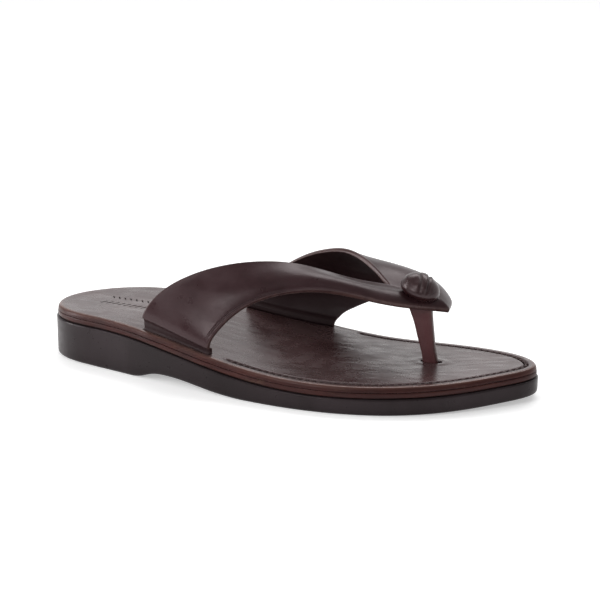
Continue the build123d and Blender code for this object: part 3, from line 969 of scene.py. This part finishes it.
def make_toe_post():
    """The strip that stands between the toes, with its tail under the insole."""
    shell = Shell()
    backs = spline([(back, y, z) for back, front, y, z in POST_SECTIONS], 60)
    fronts = spline([(front, y, z) for back, front, y, z in POST_SECTIONS], 60)
    rings = []
    for back, front in zip(backs, fronts):
        centre, half = (back + front) / 2, np.linalg.norm(front - back) / 2
        across = unit(front - back)
        ring, rim = [], []
        for u, v in strap_loop(half, POST_HALF, POST_CORNER):
            hollow = math.copysign(POST_HOLLOW, v) * bell(u, half / 2)
            ring.append(centre + across * u + np.array([0, v - hollow, 0]))
            # rim: worn edges, lighter partly as a painted highlight.
            rim.append(math.exp(-max(half - abs(u), 0) / 0.7))
        rings.append(shell.add(ring, rim=rim))
    shell.stack(rings)
    shell.cap(rings)
    x, y = POST_BASE
    x0, x1, y0, y1 = x - TAIL_HALF, x + TAIL_HALF, y - TAIL_LENGTH, y + POST_HALF
    top = seat(x) + MIDSOLE_TOP
    prism(shell, [(x0, y0), (x1, y0), (x1, y1), (x0, y1)], top - TAIL_THICK, top - LAYER_GAP)
    obj = shell.build("toe_post_strip", 50)
    return wear(obj, LIT_POST_LEATHER, "post_leather", "sole", "toe_post")


# --- knot ----------------------------------------------------------------------------------------
KNOT_CENTRE = np.array([222.4, 2.8, 59.5])
KNOT_HALF = np.array([10.8, 9.0, 7.4])
KNOT_SKIRT = np.array([0.12, 0.16, 0.0])    # its lower half is wider by these shares
KNOT_TURN = math.radians(26)            # its folds run across the foot, turned this much
KNOT_TILT = Matrix.Rotation(math.radians(18), 3, "Y")
KNOT_ROUNDS, KNOT_TURNS = 60, 140       # rings, and points in each


def knot_shape(direction):
    """Distance from the knot's centre to its surface, and how deep in a fold that is, which sets
    the painted shade in the folds.
    """
    x, y, z = direction
    half = KNOT_HALF * (1 + float(smooth(0.25, -0.35, z)) * KNOT_SKIRT)
    reach = 1 / np.linalg.norm(np.array(direction) / half)
    along = (x * math.cos(KNOT_TURN) + y * math.sin(KNOT_TURN)) * reach
    across = (y * math.cos(KNOT_TURN) - x * math.sin(KNOT_TURN)) * reach
    up = float(smooth(-0.15, 0.45, z))
    left = bell(along + 2.3 + 0.10 * across, 0.8)
    right = bell(along - 2.9 - 0.05 * across, 0.6)
    roll = bell(along - 0.3, 2.4, power=4)
    lip = bell(along - 4.3 - 0.10 * across, 0.8)
    dimple = bell(along + 4.6, 2.0) * bell(across + 5.0, 2.4)
    shape = 0.05 * roll + 0.04 * lip - 0.085 * left - 0.075 * right - 0.05 * dimple
    shape += 0.03 * noise_at((along, across * 0.5, z * reach), (3.2, 4, 4), 3.3)
    return reach * (1 + up * shape), up * max(left, right) * 0.9


def make_knot():
    """The strip's end, folded into a tight bunch on top of the vamp."""
    shell = Shell()
    rings = []
    for j in range(1, KNOT_ROUNDS):
        polar = math.pi * j / KNOT_ROUNDS
        ring, folds = [], []
        for k in range(KNOT_TURNS):
            angle = math.tau * k / KNOT_TURNS
            direction = (math.sin(polar) * math.cos(angle), math.sin(polar) * math.sin(angle),
                         math.cos(polar))
            distance, fold = knot_shape(direction)
            ring.append(KNOT_CENTRE + np.array(KNOT_TILT @ (Vector(direction) * distance)))
            folds.append(fold)
        # fold paints shade into the knot's creases.
        rings.append(shell.add(ring, fold=folds))
    shell.stack(rings)
    shell.cap(rings)
    return wear(shell.build("toe_post_knot", 70), KNOT_LEATHER, "post_leather", "sole")


def paint(material, *nodes):
    """Gives CAD nodes that keep their own shape a material."""
    for node in nodes:
        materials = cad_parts[node].data.materials
        materials.clear()
        materials.append(material)


make_outsole()
make_midsole()
make_insole()
make_stitches()
make_vamp()
make_toe_post()
make_knot()
paint(VAMP_LEATHER, "vamp_tab_outer", "vamp_tab_inner")
paint(NAIL, "heel_nails", "vamp_tab_tacks", "toe_post_tacks")


# --- floor, light and camera ---------------------------------------------------------------------
FLOOR_HALF = 6                          # metres
FLOOR_GLOW = 0.42                       # seen by the camera and in reflections only
CAMERA_PLACE = (652.5, -1057.0, 368.5)
CAMERA_TARGET = (112.19, 77.91, 20.0)
CAMERA_LENS = 127.5264
CAMERA_SENSOR = 36


def aim(obj, place, target):
    """Puts a light or camera in its place, looking at the target, both in the row frame."""
    obj.location = place
    obj.rotation_euler = (Vector(target) - Vector(place)).to_track_quat("-Z", "Y").to_euler()
    bpy.context.scene.collection.objects.link(obj)


def make_floor():
    mesh = bpy.data.meshes.new("floor")
    half = FLOOR_HALF
    corners = [(-half, -half, 0), (half, -half, 0), (half, half, 0), (-half, half, 0)]
    mesh.from_pydata(corners, [], [(0, 1, 2, 3)])
    obj = bpy.data.objects.new("floor", mesh)
    bpy.context.scene.collection.objects.link(obj)
    n = Nodes(bpy.data.materials.new("floor_paper"))
    colour = n.ramp(n.noise(3, 2), [(0.3, (0.86, 0.86, 0.86)), (0.7, (0.88, 0.88, 0.88))])
    path = n.add("ShaderNodeLightPath")
    seen = n.math("MAXIMUM", path.outputs["Is Camera Ray"], path.outputs["Is Glossy Ray"])
    paper = n.bump(n.noise(800, 2), 0.02, 0.0002)
    obj.data.materials.append(n.finish(colour, 0.9, paper, tint=WHITE, Emission_Color=WHITE,
                                       Emission_Strength=n.math("MULTIPLY", seen, FLOOR_GLOW)))


def make_light(name, place, target, size, power):
    """An area light, in metres and watts."""
    data = bpy.data.lights.new(name, "AREA")
    data.shape, data.energy = "RECTANGLE", power
    data.size, data.size_y = size
    obj = bpy.data.objects.new(name, data)
    aim(obj, place, target)


def make_world():
    """White behind the object; what lights it is a dim room with one bright wall behind it."""
    world = bpy.data.worlds.new("studio")
    n = Nodes(world)
    split = n.add("ShaderNodeSeparateXYZ")
    n.link(n.add("ShaderNodeTexCoord").outputs["Generated"], split.inputs[0])
    behind = n.span(split.outputs["Y"], -0.1, 0.8, 0, 1)
    low = n.span(split.outputs["Z"], 0.25, 0.65, 1, 0)
    wall = n.math("MULTIPLY", n.math("MULTIPLY", behind, low), 0.95)
    level = n.math("ADD", wall, n.span(split.outputs["Z"], 0, 1, 0.17, 0.5))
    seen = n.add("ShaderNodeLightPath").outputs["Is Camera Ray"]
    level = n.math("MAXIMUM", level, seen)
    n.link(level, n.tree.nodes["Background"].inputs["Color"])
    bpy.context.scene.world = world
    bpy.context.scene.view_settings.view_transform = "Standard"


def make_camera():
    data = bpy.data.cameras.new("camera")
    data.lens, data.sensor_width = CAMERA_LENS, CAMERA_SENSOR
    obj = bpy.data.objects.new("camera", data)
    aim(obj, *to_row([CAMERA_PLACE, CAMERA_TARGET]))
    bpy.context.scene.camera = obj


make_floor()
make_world()
make_light("overhead", (-0.15, 0.75, 1.25), (0, 0, 0.02), (1.5, 0.7), 12)
make_light("left", (-1.3, -0.45, 0.3), (-0.1, 0, 0.015), (0.5, 0.9), 11)
make_light("front", (-0.35, -1.3, 0.75), (-0.03, 0, 0.03), (0.6, 0.4), 5)
make_camera()
